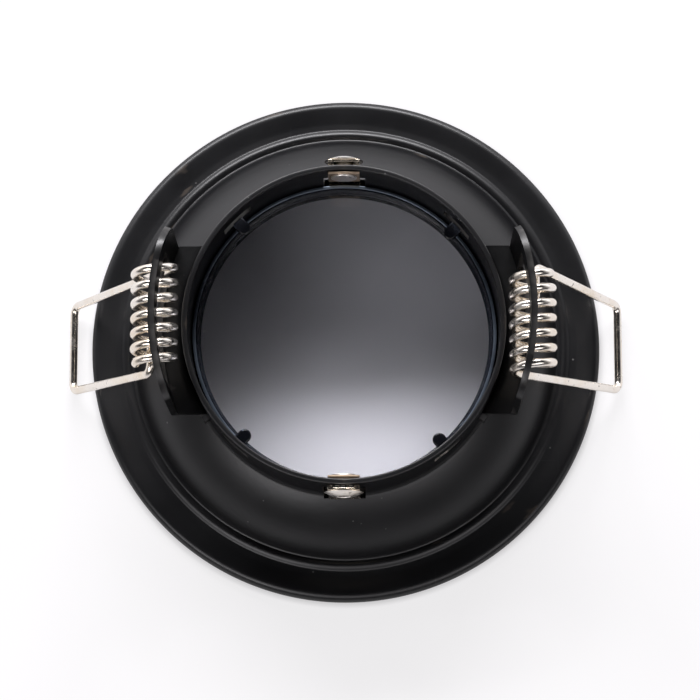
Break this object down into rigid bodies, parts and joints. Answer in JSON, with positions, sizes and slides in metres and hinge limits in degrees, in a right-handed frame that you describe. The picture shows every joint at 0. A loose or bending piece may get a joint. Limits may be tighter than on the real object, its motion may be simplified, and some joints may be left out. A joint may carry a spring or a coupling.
{
  "type": "soffit downlight",
  "caption": "Recessed round soffit downlight trim with a removable glass lock ring, leaf catches and hinged wire springs that grip the ceiling board.",
  "frame": {"origin": "centre of the flange, on the plane of its front edge, face down", "axes": "+Z from the front edge up into the soffit, +X through the right-hand wire spring, +Y through the upper catch"},
  "size_m": [0.0926, 0.085, 0.038],
  "materials": {
    "black_paint": "satin black paint",
    "black_ring": "gloss black paint",
    "nickel": "polished nickel plate",
    "glass": "clear flat glass",
    "gasket": "glossy silicone"
  },
  "bodies": {
    "trim": {"trim_body": "black_paint", "catch_top": "nickel", "catch_bottom": "nickel", "catch_rivets": "nickel", "bracket_right": "black_paint", "bracket_left": "black_paint"},
    "front_glass": {"lock_ring": "black_ring", "glass_disc": "glass", "glass_gasket": "gasket"},
    "spring_right": {"spring_right": "nickel"},
    "spring_left": {"spring_left": "nickel"}
  },
  "joints": [
    {"name": "spring_right_swing", "type": "hinge", "parent": "trim", "child": "spring_right", "pos_m": [0.03, 0, 0.028], "axis": [0, -1, 0], "range_deg": [0, 140], "stiffness_Nm_per_rad": 0.02, "springref_deg": -17.19},
    {"name": "spring_left_swing", "type": "hinge", "parent": "trim", "child": "spring_left", "pos_m": [-0.03, 0, 0.028], "axis": [0, 1, 0], "range_deg": [0, 140], "stiffness_Nm_per_rad": 0.02, "springref_deg": -17.19},
    {"name": "lock_ring_pull", "type": "slide", "parent": "trim", "child": "front_glass", "axis": [0, 0, -1], "range_m": [0, 0.017]}
  ]
}
